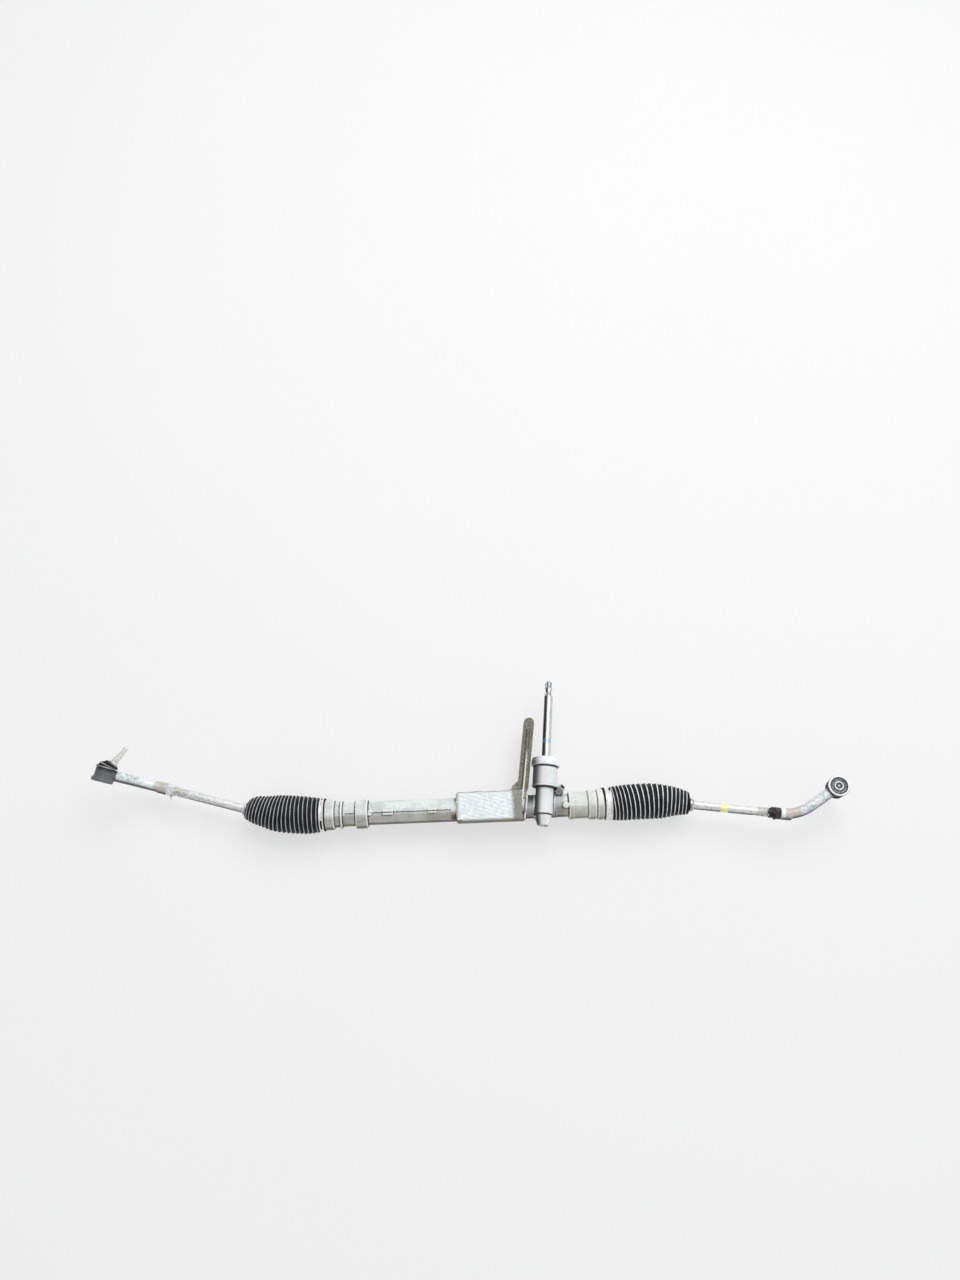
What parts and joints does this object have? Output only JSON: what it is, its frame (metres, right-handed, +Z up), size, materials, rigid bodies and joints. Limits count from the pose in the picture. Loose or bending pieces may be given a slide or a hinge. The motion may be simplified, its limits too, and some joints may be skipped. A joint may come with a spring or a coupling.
{
  "type": "rack and pinion steering gear",
  "caption": "Manual rack and pinion steering gear: cast casing with arm, input shaft, ribbed bellows and tie rods with ball joints.",
  "frame": {"origin": "centre of the saddle-clamp seat on the rack's axis", "axes": "+X along the rack towards the pinion end, +Z up as it lies on its back with the pinion above the rack, +Y the way the pinion shaft points"},
  "size_m": [1.2273, 0.2515, 0.1073],
  "materials": {
    "band_steel": "plated band",
    "bearing_steel": "polished",
    "cap_steel": "pressed plate",
    "cast_aluminium": "as-cast, weathered",
    "cover_plastic": "pale moulded cover",
    "forged_steel": "forged, worn paint and rust",
    "ground_steel": "ground, oily",
    "label": "blank label, wrinkled",
    "nut_steel": "dark, greasy",
    "plated_steel": "zinc plated",
    "rod_steel": "weathered, light rust",
    "rubber": "moulded rubber, dusty on the ribs",
    "seal_rubber": "matte",
    "seat_plastic": "self-lubricating acetal",
    "socket_steel": "greased",
    "spring_steel": "oiled",
    "stud_steel": "machined, light rust",
    "wire_steel": "plated wire",
    "yoke_alloy": "die cast"
  },
  "bodies": {
    "casing": {"rack_housing": "cast_aluminium", "blank_label": "label", "left_rack_bushing": "seat_plastic", "left_bellows_clamp": "band_steel", "right_bellows_clamp": "band_steel", "rack_yoke": "yoke_alloy", "yoke_liner": "seat_plastic", "yoke_spring": "spring_steel", "yoke_plug": "plated_steel", "yoke_lock_nut": "plated_steel", "upper_bearing_outer_race": "bearing_steel", "bearing_ring_nut": "plated_steel", "pinion_seal": "seal_rubber", "pinion_cover": "cover_plastic", "lower_bearing_cup": "bearing_steel", "lower_end_plug": "plated_steel", "vent_plug": "seal_rubber", "left_bellows": "rubber", "right_bellows": "rubber"},
    "rack": {"rack_bar": "ground_steel", "left_inner_socket": "socket_steel", "right_inner_socket": "socket_steel", "left_lock_washer": "socket_steel", "right_lock_washer": "socket_steel"},
    "pinion": {"pinion_shaft": "ground_steel", "upper_bearing_inner_race": "bearing_steel", "pinion_circlip": "wire_steel"},
    "upper_cage": {"upper_bearing_cage": "bearing_steel", "upper_bearing_balls": "bearing_steel"},
    "lower_rollers": {"lower_bearing_rollers": "bearing_steel"},
    "left_inner_seat_body": {"left_inner_seat": "seat_plastic"},
    "left_rod": {"left_tie_rod": "rod_steel", "left_bellows_clip": "wire_steel", "left_lock_nut": "nut_steel"},
    "left_end": {"left_outer_end": "forged_steel", "left_eye_cap": "cap_steel", "left_outer_boot": "rubber", "left_boot_ring": "wire_steel"},
    "left_outer_seat_body": {"left_outer_seat": "seat_plastic", "left_lip_ring": "wire_steel"},
    "left_stud": {"left_ball_stud": "stud_steel"},
    "right_inner_seat_body": {"right_inner_seat": "seat_plastic"},
    "right_rod": {"right_tie_rod": "rod_steel", "right_bellows_clip": "wire_steel", "right_lock_nut": "nut_steel"},
    "right_end": {"right_outer_end": "forged_steel", "right_eye_cap": "cap_steel", "right_outer_boot": "rubber", "right_boot_ring": "wire_steel"},
    "right_outer_seat_body": {"right_outer_seat": "seat_plastic", "right_lip_ring": "wire_steel"},
    "right_stud": {"right_ball_stud": "stud_steel"}
  },
  "joints": [
    {"name": "rack_slide", "type": "slide", "parent": "casing", "child": "rack", "axis": [1, 0, 0], "range_m": [-0.048, 0.048], "deforming": ["left_bellows", "right_bellows"]},
    {"name": "pinion_spin", "type": "hinge", "parent": "casing", "child": "pinion", "pos_m": [0.319, 0, 0.01555], "axis": [0.1045, 0.9945, 0], "range_deg": [-381.71, 381.71]},
    {"name": "upper_cage_spin", "type": "hinge", "parent": "casing", "child": "upper_cage", "pos_m": [0.319, 0, 0.01555], "axis": [0.1045, 0.9945, 0], "range_deg": [-145.36, 145.36]},
    {"name": "lower_roller_spin", "type": "hinge", "parent": "casing", "child": "lower_rollers", "pos_m": [0.319, 0, 0.01555], "axis": [0.1045, 0.9945, 0], "range_deg": [-154, 154]},
    {"name": "left_rod_swing", "type": "hinge", "parent": "rack", "child": "left_inner_seat_body", "pos_m": [-0.121, 0, 0], "axis": [0, 0, 1], "range_deg": [-5.7, 18]},
    {"name": "left_rod_lift", "type": "hinge", "parent": "left_inner_seat_body", "child": "left_rod", "pos_m": [-0.121, 0, 0], "axis": [-0.2807, -0.9598, 0], "range_deg": [-18, 18]},
    {"name": "left_end_roll", "type": "hinge", "parent": "left_rod", "child": "left_end", "pos_m": [-0.121, 0, 0], "axis": [-0.9598, 0.2807, 0], "continuous": true},
    {"name": "left_stud_tilt", "type": "hinge", "parent": "left_end", "child": "left_outer_seat_body", "pos_m": [-0.39017, 0.07207, 0.05187], "axis": [0.0342, 0.117, -0.9925], "range_deg": [-50, 0], "deforming": ["left_outer_boot"]},
    {"name": "left_stud_spin", "type": "hinge", "parent": "left_outer_seat_body", "child": "left_stud", "pos_m": [-0.39017, 0.07207, 0.05187], "axis": [0.6581, 0.7448, 0.1105], "continuous": true},
    {"name": "right_rod_swing", "type": "hinge", "parent": "rack", "child": "right_inner_seat_body", "pos_m": [0.511, 0, 0], "axis": [0, 0, 1], "range_deg": [-13, 20]},
    {"name": "right_rod_lift", "type": "hinge", "parent": "right_inner_seat_body", "child": "right_rod", "pos_m": [0.511, 0, 0], "axis": [0.1564, 0.9877, 0], "range_deg": [-13, 18]},
    {"name": "right_end_roll", "type": "hinge", "parent": "right_rod", "child": "right_end", "pos_m": [0.511, 0, 0], "axis": [0.9839, -0.1558, 0.0872], "continuous": true},
    {"name": "right_stud_tilt", "type": "hinge", "parent": "right_end", "child": "right_outer_seat_body", "pos_m": [0.79918, 0.00727, 0.0248], "axis": [0.1564, 0.9877, 0], "range_deg": [-25, 25], "deforming": ["right_outer_boot"]},
    {"name": "right_stud_spin", "type": "hinge", "parent": "right_outer_seat_body", "child": "right_stud", "pos_m": [0.79918, 0.00727, 0.0248], "axis": [0.0861, -0.0136, -0.9962], "continuous": true}
  ],
  "couplings": [
    {"joint": "pinion_spin", "follows": "rack_slide", "rad_per_m": -138.61},
    {"joint": "upper_cage_spin", "follows": "rack_slide", "rad_per_m": -52.673},
    {"joint": "lower_roller_spin", "follows": "rack_slide", "rad_per_m": -55.813}
  ]
}
